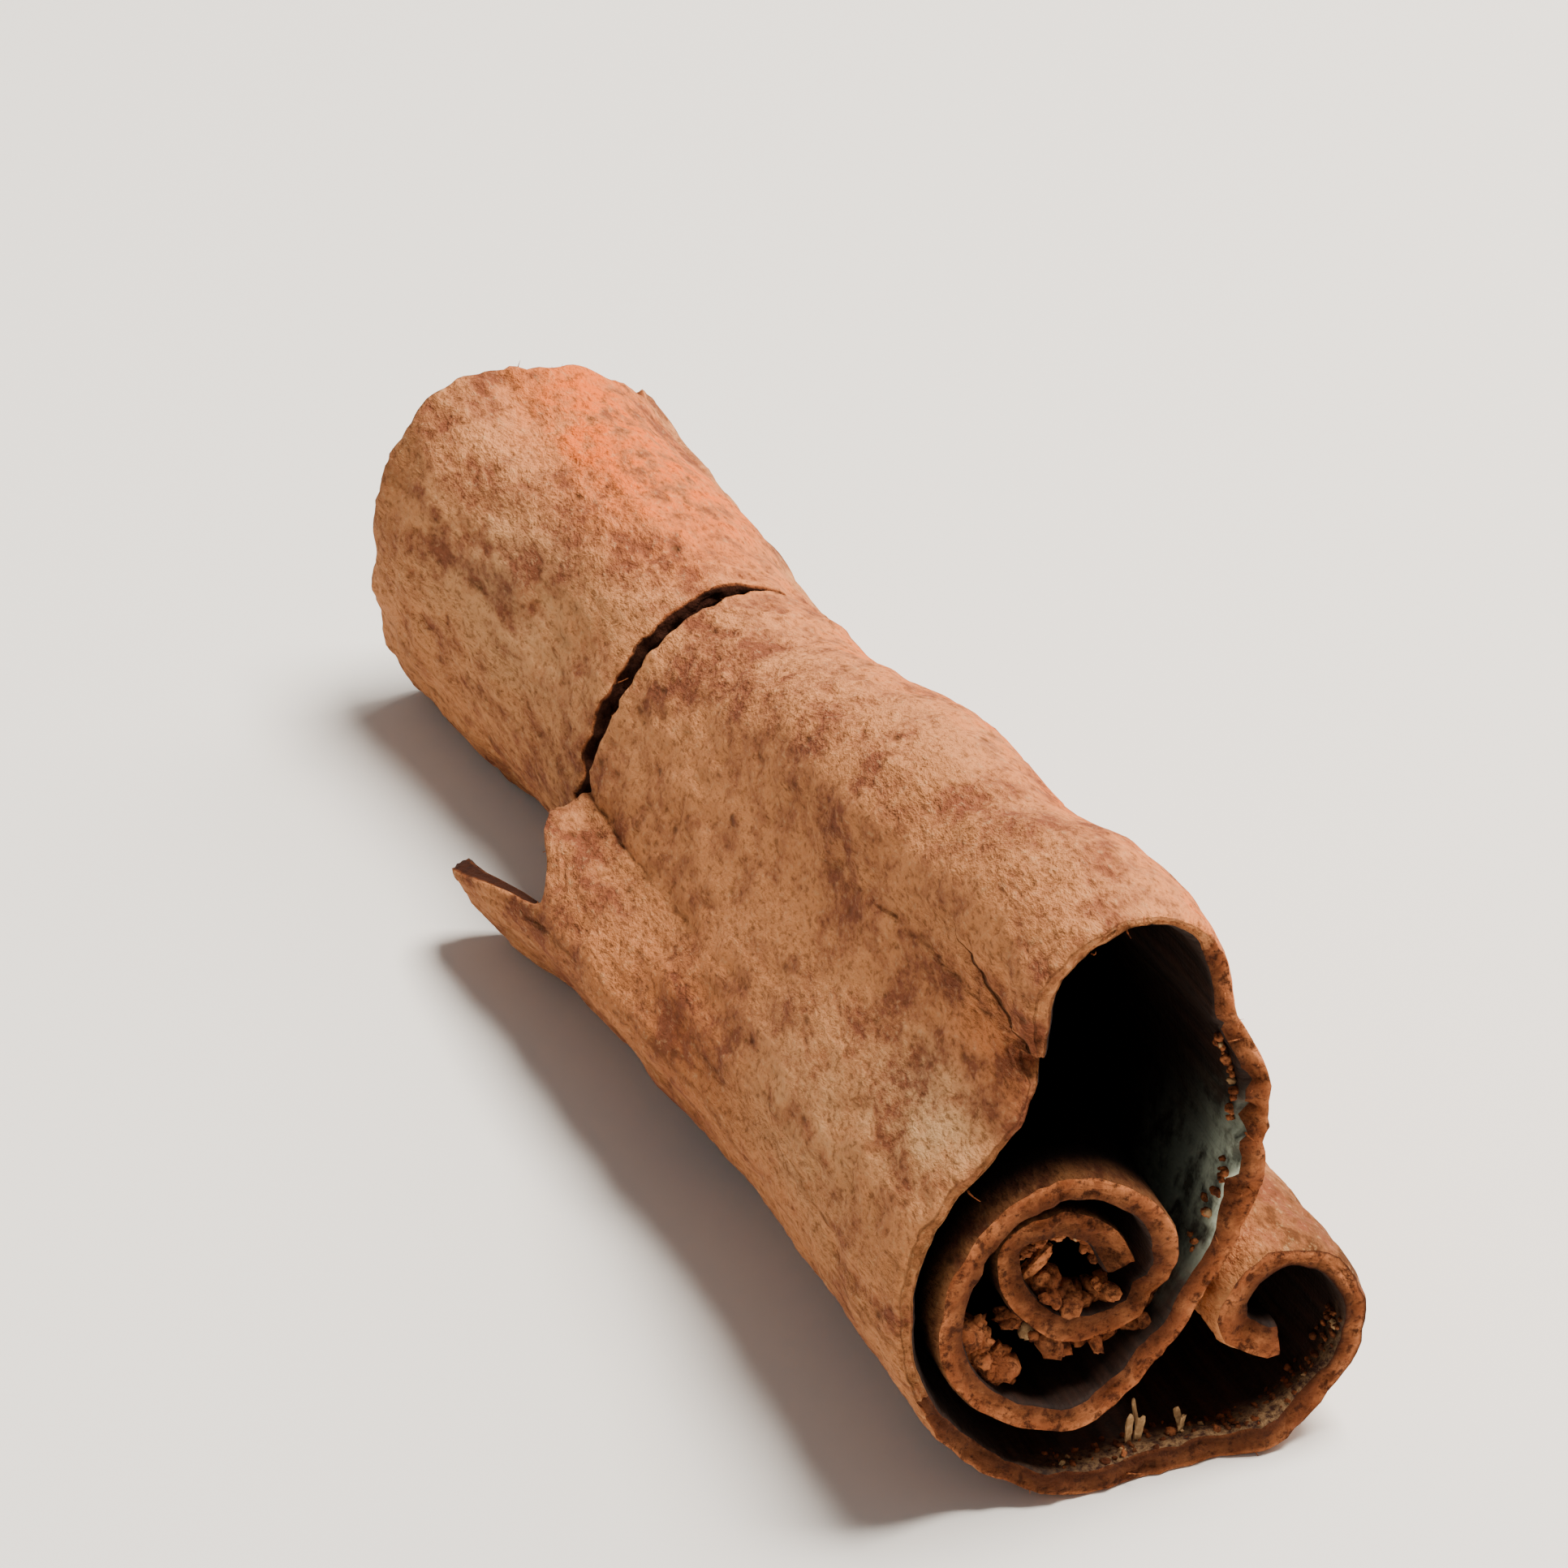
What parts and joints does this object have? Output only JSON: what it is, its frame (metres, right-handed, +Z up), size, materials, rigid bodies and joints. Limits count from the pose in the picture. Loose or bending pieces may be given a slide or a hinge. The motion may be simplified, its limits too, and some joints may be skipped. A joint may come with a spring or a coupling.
{
  "type": "cinnamon stick",
  "caption": "Rolled quill of dried cassia bark with a scrolled core, an open upper hollow, a small curled side lobe and a crack across its outer wrap.",
  "frame": {"origin": "centre of the bounding box in X and Y, on the surface that the stick rests on", "axes": "+Y runs along the stick from the front end with the wide scroll to the narrower back end, +X is to the right seen from the front end, +Z is up"},
  "size_m": [0.0217, 0.0802, 0.027],
  "materials": {
    "bark": "dry matte bark"
  },
  "bodies": {
    "root": {"quill": "bark"}
  },
  "joints": []
}
